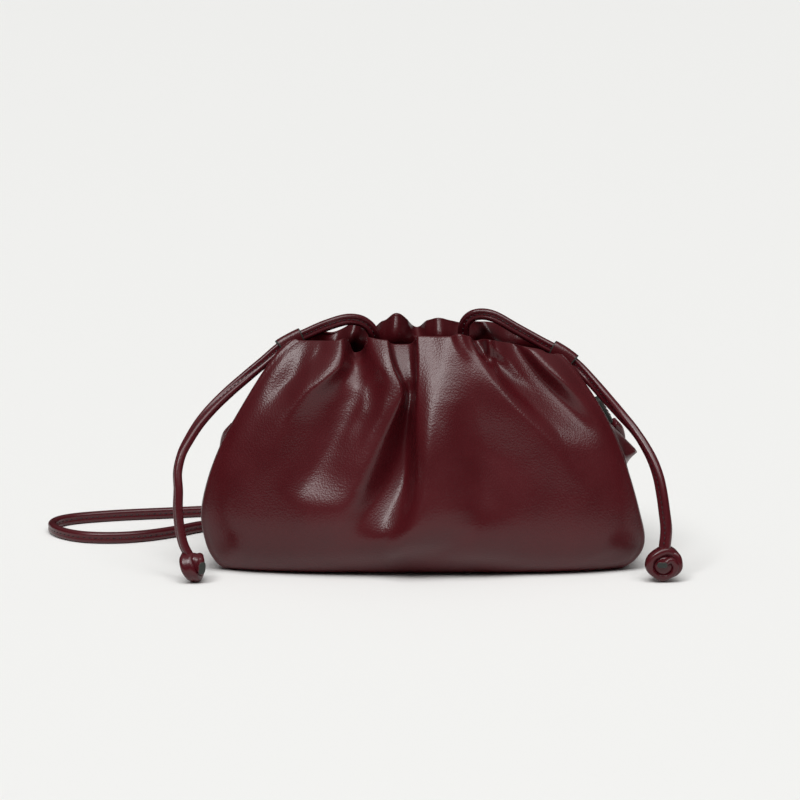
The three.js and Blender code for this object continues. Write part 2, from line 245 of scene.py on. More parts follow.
def finishPiece(bm, name, finishes, node):
    mesh = bpy.data.meshes.new(name)
    for face in bm.faces:
        face.smooth = True
    bm.to_mesh(mesh)
    bm.free()
    for finish in finishes:
        mesh.materials.append(finish)
    piece = bpy.data.objects.new(name, mesh)
    bpy.context.scene.collection.objects.link(piece)
    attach(piece, "root")
    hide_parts(node)
    return piece


# cords: a strip of leather rolled from both edges and sewn along the middle
rolledCord = {
    "points": 28,
    "squareness": 0.75,
    "grooveSpread": 0.13,
    "capInset": 0.35,
    "capBulge": 0.2,
    "stitchSize": (1.0, 0.42, 0.30),
    "stitchSlant": 0.18,
    "stitchOut": 0.05,
    "grooveFloor": 0.35,
}


def curveThrough(points, step):
    # a centripetal curve through the points, at even steps
    p = np.array(points, float)
    p = np.vstack([2 * p[0] - p[1], p, 2 * p[-1] - p[-2]])
    dense = []
    for a, b, c, d in zip(p[:-3], p[1:-2], p[2:-1], p[3:]):
        t0 = 0.0
        t1 = t0 + max(1e-6, np.linalg.norm(b - a)) ** 0.5
        t2 = t1 + max(1e-6, np.linalg.norm(c - b)) ** 0.5
        t3 = t2 + max(1e-6, np.linalg.norm(d - c)) ** 0.5
        t = np.linspace(t1, t2, 24, endpoint=False)[:, None]
        a1 = (t1 - t) / (t1 - t0) * a + (t - t0) / (t1 - t0) * b
        a2 = (t2 - t) / (t2 - t1) * b + (t - t1) / (t2 - t1) * c
        a3 = (t3 - t) / (t3 - t2) * c + (t - t2) / (t3 - t2) * d
        b1 = (t2 - t) / (t2 - t0) * a1 + (t - t0) / (t2 - t0) * a2
        b2 = (t3 - t) / (t3 - t1) * a2 + (t - t1) / (t3 - t1) * a3
        dense.append((t2 - t) / (t2 - t1) * b1 + (t - t1) / (t2 - t1) * b2)
    dense = np.vstack(dense + [p[-2:-1]])
    along = np.concatenate([[0], np.cumsum(np.linalg.norm(np.diff(dense, axis=0), axis=1))])
    stops = np.linspace(0, along[-1], max(2, int(round(along[-1] / step)) + 1))
    return np.stack([np.interp(stops, along, dense[:, i]) for i in range(3)], axis=1), along[-1]


def cordFrames(line, broad, twist):
    # at each stop: the point, the way along, the broad way and the way out of the sewn face
    count = len(line)
    ways = np.gradient(line, axis=0)
    frames = []
    for i in range(count):
        way = Vector(ways[i]).normalized()
        wide = Vector(broad(i / (count - 1)))
        wide = (wide - way * wide.dot(way)).normalized()
        face = way.cross(wide)
        turn = Matrix.Rotation(math.radians(np.interp(i / (count - 1), *zip(*twist))), 3, way)
        frames.append((Vector(line[i]), way, turn @ wide, turn @ face))
    return frames


def rolledSection(wide, thick, groove):
    # a squarish oval, with a groove above and below where the two rolls meet
    outline = []
    count, power = rolledCord["points"], rolledCord["squareness"]
    for i in range(count):
        a = 2 * math.pi * i / count
        c, s = math.cos(a), math.sin(a)
        x = wide / 2 * math.copysign(abs(c) ** power, c)
        y = thick / 2 * math.copysign(abs(s) ** power, s)
        dip = groove * math.exp(-(x / (wide * rolledCord["grooveSpread"])) ** 2)
        outline.append((x, y - math.copysign(dip, s)))
    return outline


untwisted = [(0, 0), (1, 0)]


def blend(row):
    # the broad way of a strip at any share of its length, between the ways in its table
    return lambda share: [np.interp(share, row["turns"], column) for column in zip(*row["broad"])]


def ringEdges(bm, loop):
    return [bm.edges.get((loop[k], loop[(k + 1) % len(loop)])) for k in range(len(loop))]


def sweep(bm, frames, section, swell=lambda share: 1.0, capped=True):
    first = loop = list(bmesh.ops.create_circle(bm, segments=len(section), radius=1)["verts"])

    def lay(verts, i):
        point, way, wide, face = frames[i]
        size = swell(i / (len(frames) - 1))
        for vert, (x, y) in zip(verts, section):
            vert.co = (point + (wide * x + face * y) * size) * mm

    lay(loop, 0)
    for i in range(1, len(frames)):
        made = bmesh.ops.extrude_edge_only(bm, edges=ringEdges(bm, loop))["geom"]
        fresh = set(v for v in made if isinstance(v, bmesh.types.BMVert))
        loop = [next(e.other_vert(v) for e in v.link_edges if e.other_vert(v) in fresh) for v in loop]
        lay(loop, i)
    if not capped:
        return first, loop
    caps = []
    for end in (first, loop):
        caps += bmesh.ops.contextual_create(bm, geom=ringEdges(bm, end))["faces"]
    bmesh.ops.recalc_face_normals(bm, faces=bm.faces[:])
    inset, bulge = rolledCord["capInset"] * mm, rolledCord["capBulge"] * mm
    return caps + bmesh.ops.inset_region(bm, faces=caps, thickness=inset, depth=bulge)["faces"]


def sewAlong(bm, frames, section, spacing):
    # short threads in the groove, slanting a little
    step = np.linalg.norm(np.array(frames[1][0]) - np.array(frames[0][0]))
    every = max(1, int(round(spacing / step)))
    low = min(abs(y) for x, y in section if abs(x) < rolledCord["grooveFloor"])
    size = Matrix.Diagonal((*(length * mm for length in rolledCord["stitchSize"]), 1))
    before = set(bm.faces)
    for i in range(every, len(frames) - every, every):
        point, way, wide, face = frames[i]
        for side in (-1, 1):
            middle = point + face * side * (low + rolledCord["stitchOut"])
            slant = (way + wide * rolledCord["stitchSlant"] * side).normalized()
            turn = Matrix((slant, face.cross(slant), face)).transposed().to_4x4()
            lie = Matrix.Translation(middle * mm) @ turn @ size
            bmesh.ops.create_icosphere(bm, subdivisions=1, radius=1, matrix=lie)
    return [f for f in bm.faces if f not in before]


drawcords = {
    "wide": 6.0,
    "thick": 4.5,
    "groove": 0.85,
    "stitch": 2.4,
    "step": 0.65,
    "facing": (0, 1, 0.15),
    "left": {
        "route": [
            (-22.6, 27.2, 104.6), (-23.2, 20.5, 106.8), (-24.4, 14.2, 111.4), (-26, 10.5, 117.6),
            (-27.8, 9.5, 120.6), (-32.2, 8, 123.9), (-38.9, 5.5, 125.1), (-49.7, 2, 122.6),
            (-61, -0.5, 118), (-67.4, -2, 115.1), (-73.6, -3.5, 111.6), (-81.8, -6.5, 104.9),
            (-90.2, -10, 98.2), (-99.2, -15.5, 91), (-107.1, -21, 83.9), (-113.6, -27, 76.8),
            (-118.4, -32.5, 69.7), (-122.1, -37.5, 62.6), (-123.9, -42, 54.3), (-123.4, -45.5, 45.8),
            (-123.5, -48, 36.1), (-122.5, -49.5, 26.2), (-120.6, -50.6, 18.5), (-117.7, -51.3, 12.9),
        ],
        "twist": [(0, 15), (0.3, 10), (0.45, 20), (0.62, 55), (0.75, 80), (0.9, 60), (1, 60)],
        "exit": (-26, 10.5, 117.6),
    },
    "right": {
        "route": [
            (23.4, 27.2, 104.2), (22.8, 20.5, 106.6), (21.7, 14.6, 111.8), (21.1, 12, 119.4),
            (22.3, 11, 123.2), (25.4, 10, 126.2), (30, 9, 127.4), (36.2, 7, 126.6), (48.2, 3.5, 120.4),
            (60, 0.5, 114.2), (71.6, -3, 108.2), (79.4, -4.8, 102.2), (86.7, -9.8, 94.9), (93.8, -15, 87.3),
            (100.8, -19.5, 79.7), (107.4, -25, 72.4), (112.3, -30.5, 65.3), (116, -36, 58.2),
            (118.4, -40.5, 50.9), (119.8, -44, 43.4), (120.9, -47, 34.8), (121.7, -49.5, 26.2),
            (120.8, -51.6, 17),
        ],
        "twist": [(0, -15), (0.3, -10), (0.5, 0), (0.7, 70), (0.85, 45), (1, 30)],
        "exit": (21.1, 12, 119.4),
    },
}


def addDrawcord(side):
    row = drawcords[side]
    line, length = curveThrough(row["route"], drawcords["step"])
    # the broad way lies across the cord as it is seen from the front
    ways = np.gradient(line, axis=0)

    def broad(share):
        way = ways[int(round(share * (len(line) - 1)))]
        return np.cross(way, drawcords["facing"])

    frames = cordFrames(line, broad, row["twist"])
    section = rolledSection(drawcords["wide"], drawcords["thick"], drawcords["groove"])
    bm = bmesh.new()
    sweep(bm, frames, section)
    bmesh.ops.recalc_face_normals(bm, faces=bm.faces[:])
    for face in sewAlong(bm, frames, section, drawcords["stitch"]):
        face.material_index = 1
    piece = finishPiece(bm, "drawcord" + side.title(), [rolled, thread], "drawcord_" + side)
    return piece, line, length, frames


cordsMade = {"left": addDrawcord("left"), "right": addDrawcord("right")}
print("drawcords laid, mm:", [round(made[2]) for made in cordsMade.values()])


# body: the plain form, a column for each measure, from the base seam up to the rim
body = {
    "height": (0, 1.5, 7, 16, 30, 48, 66, 84, 100, 112, 120),
    "left": (94, 103, 108, 111.5, 113.3, 109.5, 102.4, 92.6, 83.2, 75, 67.5),
    "right": (93, 102.5, 109.5, 113, 110.2, 105.2, 98.9, 90.4, 80.8, 73.8, 69.6),
    "front": (31, 37.5, 43.8, 48.4, 49.4, 47.2, 43.6, 38.6, 32.3, 26, 21),
    "back": (31, 36, 41, 44, 46.5, 47, 44.5, 39, 31.5, 22.5, 27.5),
    "edge": (22, 24, 26, 27, 27, 25, 22, 19, 16, 13, 11),
    "tuck": (0, -1, -1.5, -1.5, -0.5, 1, 3, 5, 9, 9.5, 9.5),
    "wall": 1.6,
    "hem": 2.2,
    "seamGap": 0.3,
    "seamRound": 1.5,
    "seamLip": 0.7,
    "seamLipAt": 1.8,
    "crown": 2.6,
    "shoulderDrop": (3, 11),
    "shoulderReach": 6,
    "backTaper": (7, 2),
    "gussetDip": (0.09, 0.2),
    "hold": 10,
    "liftFrom": 92,
    "hemFrom": 0.94,
    "rimFrom": 0.9999,
    "leanInside": 0.3,
    "baseInset": 1.3,
    "mesh": {"front": (270, 130), "back": (200, 90), "gusset": (44, 130), "base": (60, 24)},
    "wallCuts": 4,
    "baseCuts": 2,
}


def levelAt(column, share):
    row = np.array(body[column], float)
    place = np.clip(share, 0, 1) * (len(row) - 1)
    at = np.minimum(place.astype(int), len(row) - 2)
    before, start, end, after = (row[np.clip(at + k, 0, len(row) - 1)] for k in (-1, 0, 1, 2))
    f = place - at
    bend = 2 * before - 5 * start + 4 * end - after
    turn = 3 * (start - end) + after - before
    return start + 0.5 * f * (end - before + f * (bend + f * turn))


def heightAt(across, share):
    drop = np.where(across < 0, *body["shoulderDrop"])
    return levelAt("height", share) - drop * np.abs(across) ** 3 * share ** body["shoulderReach"]


def plainPanel(facing):
    def surface(across, share):
        half = np.where(across < 0, levelAt("left", share), levelAt("right", share))
        if facing > 0:
            half = half - np.where(across < 0, *body["backTaper"])
        edge = levelAt("edge", share)
        crown = np.sqrt(np.maximum(0, 1 - np.abs(across) ** body["crown"]))
        out = edge + (levelAt("front" if facing < 0 else "back", share) - edge) * crown + body["seamGap"]
        return np.stack([across * half, facing * out, heightAt(across, share)], axis=-1)
    return surface


def outOf(surface, across, share, turn):
    step = 1e-3
    u = np.clip(across, -1 + step, 1 - step)
    t = np.clip(share, step, 1 - step)
    way = np.cross(surface(u + step, t) - surface(u - step, t), surface(u, t + step) - surface(u, t - step))
    return turn * way / np.linalg.norm(way, axis=-1, keepdims=True)


# folds: each runs down its panel, a row for each stop with its height, its place across, how far it
# stands out, and how far it spreads to the left and right; lean pushes it sideways, lift moves the rim
# up or down there, and flat squares its top
frontFolds = {
    "leftRidge": {"path": [
        (121, -42, 4, 12, 4), (113, -42, 5, 12, 5), (106, -45, 5.5, 13, 9), (99, -50, 5.2, 14, 15),
        (92, -57, 4, 15, 22), (80, -66, 2.6, 17, 26), (64, -75, 1.4, 18, 26), (50, -82, 0.5, 18, 24),
        (38, -86, 0, 18, 24)]},
    "leftScoop": {"path": [
        (121, -60, -1, 9, 8), (110, -64, -2.2, 10, 8), (100, -68, -3, 12, 10), (93, -72, -2.5, 12, 11),
        (86, -75, -0.8, 12, 11), (80, -78, 0, 12, 11)]},
    "notch": {"path": [
        (121, -37, -9, 3.5, 9), (113, -36, -8.5, 4, 10), (106, -35, -7.4, 7, 12), (99, -38, -6.6, 13, 15),
        (92, -41, -6.2, 19, 17), (84, -44.5, -5.8, 23, 18), (76, -48, -5.1, 25, 20), (66, -51, -4.4, 26, 22),
        (60, -52.5, -4.1, 26, 23), (54, -53, -3.6, 26, 24), (48, -53, -2.5, 25, 24),
        (43.5, -52, -1.1, 23, 22), (39, -51, 0, 21, 20)], "lift": -4},
    "finger": {"path": [
        (121, -20.5, 5, 12, 3), (113, -20, 6, 12, 3.5), (106, -18.5, 6.5, 13, 4), (99, -15.5, 6.8, 14, 5),
        (95, -15, 6.7, 15, 7), (91, -15.5, 6.3, 16, 9.5), (84, -18.5, 5.2, 18, 11), (76, -21, 4.4, 20, 13),
        (63, -27, 3.9, 22, 15), (50, -35, 3.6, 22, 16), (40, -41, 3, 22, 16), (30, -46, 2, 20, 15),
        (18, -50, 0, 18, 13)], "lean": 3, "lift": -1.8},
    "fingerGroove": {"path": [
        (106, -25, 0, 4, 4), (99, -24.5, -1.2, 4.5, 4.5), (92, -26, -1.8, 5, 5), (84, -27.5, -1.6, 5, 5),
        (76, -32, -1.1, 5, 5), (65, -37, 0, 5, 5)]},
    "valley": {"flat": 6, "path": [
        (121, -11.5, -8.5, 9, 8.5), (113, -11, -9, 8, 8), (106, -10, -9, 6.5, 7), (99, -8, -9, 4.5, 5),
        (95, -7, -8.5, 4, 4), (90, -6.5, -5, 4, 3.5), (83, -6.5, 0, 4, 3.5)], "lift": -6},
    "crease": {"path": [
        (98, -6.5, 0, 7, 4), (91, -7, -6, 8, 4.5), (84, -7.5, -9, 10, 5), (76, -8, -10, 14, 6),
        (66, -8.5, -10.2, 19, 7), (56, -9.5, -10, 23, 8), (48, -11.5, -8.8, 24, 9), (40, -15.5, -6.8, 22, 10),
        (33, -20, -4.6, 19, 10.5), (27, -23, -2.4, 16, 10), (22, -25, -0.6, 13, 9), (18, -26, 0, 11, 9)]},
    "middlePleat": {"path": [
        (121, 9, 2.4, 17, 12), (113, 9, 2.9, 17, 12), (106, 9, 3.8, 17, 13), (99, 8.7, 5, 17, 15),
        (92, 8.2, 6.3, 17, 17), (84, 7.5, 7.7, 17, 19), (76, 6.6, 9, 17, 22), (68, 5.8, 9.8, 17, 25),
        (60, 5, 9.8, 16, 27), (50, 4, 9.4, 14, 28), (40, 2, 8.6, 12, 28), (30, -2, 7, 11, 27),
        (22, -7, 4.8, 10, 24), (15, -12, 2.2, 9, 20), (9, -15, 0, 8, 18)], "lean": -2},
    "sidePleat": {"path": [
        (121, 20, 4.4, 16, 8), (113, 23, 5, 17, 8.5), (106, 27, 5.6, 18, 9), (99, 32, 5.8, 21, 9),
        (92, 38, 5.2, 25, 9), (84, 46, 4.2, 28, 9), (76, 54, 3, 28, 9), (66, 63, 1.8, 26, 9),
        (54, 71, 0.7, 22, 9), (44, 77, 0, 18, 9)], "lean": 1.5, "lift": 1},
    "pleatShadow": {"path": [
        (121, 25, -5, 4, 6), (113, 30, -5.5, 4, 7), (106, 37.5, -4.2, 4.5, 7), (99, 43, -2.4, 5, 7),
        (94, 48, -0.8, 5, 7), (90, 52, 0, 6, 8)], "lift": -3},
    "smallTuck": {"path": [
        (121, 32.5, 4, 2.4, 3.4), (112, 33.4, 4, 2.6, 3.6), (105, 35.4, 1.8, 2.8, 3.8), (99, 37.5, 0, 3, 4)]},
    "rightChannel": {"path": [
        (121, 45, -4, 9, 4), (113, 49, -5.8, 11, 4.5), (106, 54, -7, 14, 5.5), (99, 59.5, -7.6, 17, 7),
        (92, 66, -7.2, 19, 8), (86, 71.5, -6, 20, 9), (80, 76.5, -4.2, 20, 9), (75, 80.5, -2.3, 19, 9),
        (70, 84, -0.8, 18, 8), (66, 86, 0, 17, 8)]},
    "rightRoll": {"path": [
        (121, 52.5, 3, 6, 9), (113, 58, 4, 6, 9), (106, 64, 4.5, 6.5, 9), (99, 70, 4.5, 7, 8),
        (92, 76.5, 3.5, 7, 7), (84, 84, 2, 7, 6), (74, 91, 0, 7, 6)]},
    "belly": {"path": [
        (66, -6, 0, 74, 76), (52, -6, 0.7, 74, 76), (42, -6, 2.2, 74, 76), (34, -6, 3.8, 74, 76),
        (27, -6, 4.8, 74, 76), (20, -6, 4.4, 74, 76), (13, -6, 2.4, 74, 76), (6, -6, 0, 74, 76)]},
    "bellyLobe": {"path": [
        (60, 26, 0, 24, 26), (46, 26, 1, 24, 26), (32, 27, 2.3, 24, 26), (22, 27, 2.6, 24, 26),
        (14, 27, 1.6, 22, 24), (6, 28, 0, 20, 22)]},
    "leftDimple": {"path": [
        (50, -111, 0, 12, 14), (30, -111, -1.4, 12, 15), (14, -108, -1.4, 14, 15), (3, -102, 0, 16, 14)]},
    "rightDimple": {"path": [
        (40, 111, 0, 14, 12), (22, 109, -1.5, 16, 12), (11, 105, -1.5, 16, 12), (2, 97, 0, 16, 12)]},
    "notchEdge": {"flat": 6, "path": [
        (121, -35, -2, 4, 6), (114, -34.5, -2, 4, 5), (108, -34, 0, 4, 4)], "lift": -6.5},
    "leftRim": {"flat": 4, "path": [(121, -56, 0.1, 24, 19), (90, -56, 0.1, 24, 19)], "lift": -1.8},
    "pleatCurl": {"path": [(121, 16.5, 2.6, 4, 4), (115, 18.5, 1.8, 4, 4), (109, 21, 0, 4, 4)], "lift": 1.5},
    "rightRim": {"flat": 4, "path": [(121, 50, 0.1, 20, 34), (90, 50, 0.1, 20, 34)], "lift": -1.8},
    "keeperDip": {"flat": 3, "path": [(121, 66, 0.1, 12, 22), (90, 66, 0.1, 12, 22)], "lift": -3},
}
backFolds = {
    "farLeft": {"path": [(121, -60, -3, 10, 10), (100, -66, -1, 14, 14), (80, -72, 0, 14, 14)]},
    "hollowLeft": {"path": [(121, -46, 4, 9, 10), (95, -56, 4, 14, 12), (56, -74, 0, 16, 14)], "lift": -5},
    "ridgeLeft": {"path": [(121, -36, -5, 7, 6), (95, -42, -5, 9, 9), (60, -56, 0, 9, 10)], "lift": 1},
    "rollLeft": {"path": [
        (121, -27, 8, 5, 6), (109, -28.5, 5, 8, 8), (95, -30, 5, 10, 10), (60, -40, 4, 12, 12),
        (42, -48, 0, 12, 12)], "lift": -6},
    "peak": {"path": [(121, -14, -7.5, 7.5, 8), (95, -16, -5, 8, 9), (52, -24, 0, 8, 9)], "lift": 5},
    "peakRollLeft": {"path": [(124, -16, -2.6, 3, 3), (116, -22, -2.6, 3, 3), (107, -31, 0, 3, 3)]},
    "peakRollRight": {"path": [(124, -11, -2.4, 3, 3), (115, -4, -2.4, 3, 3), (108, 2, 0, 3, 3)]},
    "puffRoll": {"path": [(124, 26, -2.4, 3, 4), (116, 33, -2.8, 3, 4), (107, 45, 0, 4, 4)]},
    "rollMiddle": {"path": [
        (121, -3, 8.5, 5.5, 5.5), (109, -3, 6, 7, 7), (95, -3, 5, 9, 9), (60, -4, 4, 10, 10),
        (40, -6, 0, 9, 10)], "lift": -5},
    "ridgeMiddle": {"path": [(121, 8, -5, 6, 7), (95, 10, -4, 7, 7), (50, 14, 0, 7, 7)], "lift": 2},
    "rollRight": {"path": [
        (121, 20, 7.5, 6, 6), (109, 22, 5, 8, 8), (95, 24, 5, 10, 10), (60, 33, 4, 11, 11),
        (44, 38, 0, 10, 11)], "lift": -2},
    "ridgeRight": {"path": [(121, 33, -6, 9, 10), (95, 38, -5, 10, 10), (58, 52, 0, 10, 10)], "lift": 2},
    "hollowRight": {"path": [(121, 50, 4, 8, 8), (95, 58, 4, 12, 14), (56, 78, 0, 14, 16)]},
    "farRight": {"path": [(121, 62, -3, 9, 9), (100, 68, -1, 13, 13), (80, 74, 0, 13, 13)]},
}


evening = {"from": -10, "to": 140, "step": 0.5, "reach": 12, "spread": 2}


def softTable(path):
    # the stops of a fold, evened out at every half millimetre of height
    rows = np.array(sorted(path), float)
    heights = np.arange(evening["from"], evening["to"], evening["step"])
    reach, spread = evening["reach"], evening["spread"]
    near = np.exp(-np.linspace(-spread, spread, 2 * reach + 1) ** 2)
    near /= near.sum()
    columns = [np.interp(heights, rows[:, 0], rows[:, k]) for k in range(1, 5)]
    ends = (heights < rows[0, 0]) & (rows[0, 2] == 0)
    columns[1][ends] = 0
    return heights, [np.convolve(np.pad(c, reach, mode="edge"), near, mode="valid") for c in columns]


def foldShift(folds, x, z):
    out, side, lift = np.zeros_like(x), np.zeros_like(x), np.zeros_like(x)
    nearRim = np.clip((z - body["liftFrom"]) / (body["height"][-1] - body["liftFrom"]), 0, 1) ** 2
    for fold in folds.values():
        heights, (centre, rise, left, right) = softTable(fold["path"])
        slope = np.interp(z, heights, np.gradient(centre, heights))
        off = (x - np.interp(z, heights, centre)) / np.hypot(1, slope)
        width = np.where(off < 0, np.interp(z, heights, left), np.interp(z, heights, right))
        away = np.abs(off / width)
        bump = np.maximum(0, 1 - away ** fold.get("flat", 2)) ** 2
        tall = np.interp(z, heights, rise)
        most = np.abs(rise).max()
        out += bump * tall
        side += fold.get("lean", 0) * bump * np.abs(tall) / most
        lift += fold.get("lift", 0) * bump * np.abs(tall) / most * nearRim
    return out, side, lift


def closeToSeams(flat):
    # the columns of the mesh stand closer together beside the seams
    return 1.5 * flat - 0.5 * flat ** 3


def slab(columns, rows, cuts):
    # a flat slab of leather; its flat places are read off before it is shaped
    bm = bmesh.new()
    bmesh.ops.create_grid(bm, x_segments=columns, y_segments=rows, size=1)
    made = bmesh.ops.extrude_face_region(bm, geom=bm.faces[:], use_keep_orig=True)["geom"]
    inner = [v for v in made if isinstance(v, bmesh.types.BMVert)]
    bmesh.ops.translate(bm, verts=inner, vec=(0, 0, -1))
    walls = [e for e in bm.edges if abs(e.verts[0].co.z - e.verts[1].co.z) > 0.5]
    bmesh.ops.subdivide_edges(bm, edges=walls, cuts=cuts, use_grid_fill=True)
    flat = np.array([v.co for v in bm.verts])
    return bm, flat[:, 0], (flat[:, 1] + 1) / 2, np.clip(-flat[:, 2], 0, 1)


def shapeTo(bm, points):
    for vert, point in zip(bm.verts, points * mm):
        vert.co = point
    bmesh.ops.recalc_face_normals(bm, faces=bm.faces[:])
    if bm.calc_volume(signed=True) < 0:  # a thin bent wall can come out inside out
        bmesh.ops.reverse_faces(bm, faces=bm.faces[:])


def seamDip(surface, across, share):
    # how far the leather turns in beside a side seam
    end = np.where(across < 0, -1.0, 1.0)
    away = np.linalg.norm(surface(across, share) - surface(end, share), axis=-1)
    r = body["seamRound"]
    turned = np.where(away < r, r - np.sqrt(np.maximum(0, r * r - (r - away) ** 2)), 0)
    return turned - body["seamLip"] * np.exp(-((away - body["seamLipAt"] * r) / r) ** 2)


def addPanel(name, node, facing, folds, columns, rows):
    plain = plainPanel(facing)
    turn = -facing
    bm, flat, share, depth = slab(columns, rows, body["wallCuts"])
    across = closeToSeams(turn * flat)
    point = plain(across, share)
    square = outOf(plain, across, share, turn)
    level = square * (1, 1, 0)
    level /= np.linalg.norm(level, axis=-1, keepdims=True)
    hold = 1 - np.abs(across) ** body["hold"]
    out, side, lift = foldShift(folds, point[:, 0], point[:, 2])
    nearRim = np.clip((share - body["hemFrom"]) / (1 - body["hemFrom"]), 0, 1)
    wall = body["wall"] + (body["hem"] - body["wall"]) * nearRim
    inward = wall * depth + seamDip(plain, across, share)
    point = point + level * (out * hold)[:, None] - square * inward[:, None]
    point[:, 0] += side * hold * (1 - (1 - body["leanInside"]) * depth)
    point[:, 2] += lift * hold + np.where(share > body["rimFrom"], wall / 2 * np.sin(np.pi * depth), 0)
    point[:, 2] = np.maximum(point[:, 2], 0)
    shapeTo(bm, point)
    finishPiece(bm, name, [oxblood], node)


addPanel("frontPanel", "front_panel", -1, frontFolds, *body["mesh"]["front"])
addPanel("backPanel", "back_panel", 1, backFolds, *body["mesh"]["back"])
print("front and back panels gathered")


gussets = {
    "sharp": 1.3,
    "left": {"facing": -1, "fold": 66, "above": 14, "below": 12, "rise": 4, "tuck": 1},
    "right": {"facing": 1, "fold": 57, "above": 26, "below": 8, "rise": 11.4, "tuck": 0.55},
}


def gussetSurface(side):
    row = gussets[side]
    which = 0 if side == "left" else 1

    def surface(across, share):
        middle = (1 - across ** 2) ** 2
        easeBack = 0.5 + 0.75 * across - 0.25 * across ** 3
        level = share * (1 - body["gussetDip"][which] * (1 - across ** 4) * share ** body["shoulderReach"])
        height = heightAt(np.full_like(across, row["facing"]), level)
        off = height - row["fold"]
        near = 1 - np.clip(np.abs(off) / np.where(off > 0, row["above"], row["below"]), 0, 1)
        tuck = row["tuck"] * levelAt("tuck", level) - row["rise"] * near ** gussets["sharp"]
        out = levelAt(side, level) - tuck * middle - body["backTaper"][which] * easeBack
        depth = across * (levelAt("edge", level) - body["seamGap"])
        return np.stack([row["facing"] * out, depth, height], axis=-1)
    return surface


def addGusset(side):
    surface = gussetSurface(side)
    turn = gussets[side]["facing"]
    bm, flat, share, depth = slab(*body["mesh"]["gusset"], body["wallCuts"])
    across = closeToSeams(turn * flat)
    square = outOf(surface, across, share, turn)
    inward = body["wall"] * depth + seamDip(surface, across, share)
    point = surface(across, share) - square * inward[:, None]
    point[:, 2] += np.where(share > body["rimFrom"], body["wall"] / 2 * np.sin(np.pi * depth), 0)
    point[:, 2] = np.maximum(point[:, 2], 0)
    shapeTo(bm, point)
    finishPiece(bm, "gusset" + side.title(), [oxblood], "gusset_" + side)


addGusset("left")
addGusset("right")


def addBase():
    bm, flat, share, depth = slab(*body["mesh"]["base"], body["baseCuts"])
    across = closeToSeams(flat)
    zero = np.zeros_like(across)
    front = plainPanel(-1)(across, zero)
    back = plainPanel(1)(across, zero)
    point = front + (back - front) * share[:, None]
    inset = body["baseInset"]
    point[:, 0] *= 1 - inset / np.maximum(np.abs(point[:, 0]).max(), 1)
    point[:, 1] -= np.sign(share - 0.5) * np.abs(2 * share - 1) * inset
    point[:, 2] = body["wall"] * (1 - depth)
    shapeTo(bm, point)
    finishPiece(bm, "basePanel", [oxblood], "base_panel")


addBase()
print("gussets and base sewn in")


# tabs near the back seams of the gussets, and the strap between them
tabs = {
    "wide": 8,
    "tall": 15,
    "from": 0.5,
    "to": 4.2,
    "corner": 2.4,
    "across": 0.8,
    "left": 0.6,
    "right": 0.62,
    "strapOut": 3.7,
    "strapBelow": 1.5,
    "bend": (0.8, 7, 3),
    "edgeRound": 0.5,
    "stitches": 5,
    "stitchRows": (-2.7, 2.7),
    "firstStitch": 2.2,
    "stitchStep": 2.4,
    "stitchSize": (0.36, 0.95, 0.28),
}


def tabSeat(side):
    surface = gussetSurface(side)
    reach = tabs["tall"] / body["height"][-1]

    def at(share):
        return surface(np.array([tabs["across"]]), np.array([share]))[0]

    foot = at(tabs[side])
    up = Vector(at(tabs[side] + reach) - foot).normalized()
    middle = np.array([tabs[side] + reach / 2])
    out = Vector(outOf(surface, np.array([tabs["across"]]), middle, gussets[side]["facing"])[0])
    return Vector(foot), up, out


def addTab(side):
    foot, up, out = tabSeat(side)
    bm = bmesh.new()
    bmesh.ops.create_grid(bm, x_segments=1, y_segments=1, size=0.5)
    bmesh.ops.scale(bm, verts=bm.verts, vec=(tabs["wide"], tabs["tall"], 1))
    bmesh.ops.translate(bm, verts=bm.verts, vec=(0, tabs["tall"] / 2, tabs["from"]))
    upper = [v for v in bm.verts if v.co.y > tabs["tall"] / 2]
    bmesh.ops.bevel(bm, geom=upper, offset=tabs["corner"], affect="VERTICES", segments=5, profile=0.5,
                    material=-1)
    made = bmesh.ops.extrude_face_region(bm, geom=bm.faces[:], use_keep_orig=True)["geom"]
    front = [v for v in made if isinstance(v, bmesh.types.BMVert)]
    bmesh.ops.translate(bm, verts=front, vec=(0, 0, tabs["to"] - tabs["from"]))
    bmesh.ops.recalc_face_normals(bm, faces=bm.faces[:])
    sides = [f for f in bm.faces if abs(f.normal.z) < 0.5]
    for face in sides:
        face.material_index = 1
    rims = [e for e in bm.edges if len({f in sides for f in e.link_faces}) == 2]
    bmesh.ops.bevel(bm, geom=rims, offset=tabs["edgeRound"], affect="EDGES", segments=3, profile=0.5,
                    material=-1)
    before = set(bm.faces)
    size = Matrix.Diagonal((*tabs["stitchSize"], 1))
    for i in range(tabs["stitches"]):
        for x in tabs["stitchRows"]:
            y = tabs["firstStitch"] + tabs["stitchStep"] * i
            lie = Matrix.Translation((x, y, tabs["to"])) @ size
            bmesh.ops.create_icosphere(bm, subdivisions=1, radius=1, matrix=lie)
    for face in set(bm.faces) - before:
        face.material_index = 2
    turn = Matrix((up.cross(out).normalized(), up, out)).transposed().to_4x4()
    bmesh.ops.transform(bm, matrix=Matrix.Scale(mm, 4) @ Matrix.Translation(foot) @ turn, verts=bm.verts)
    finishes = [oxblood, edgePaint, thread]
    finishPiece(bm, "strapTab" + side.title(), finishes, "strap_tab_" + side)


addTab("right")
addTab("left")


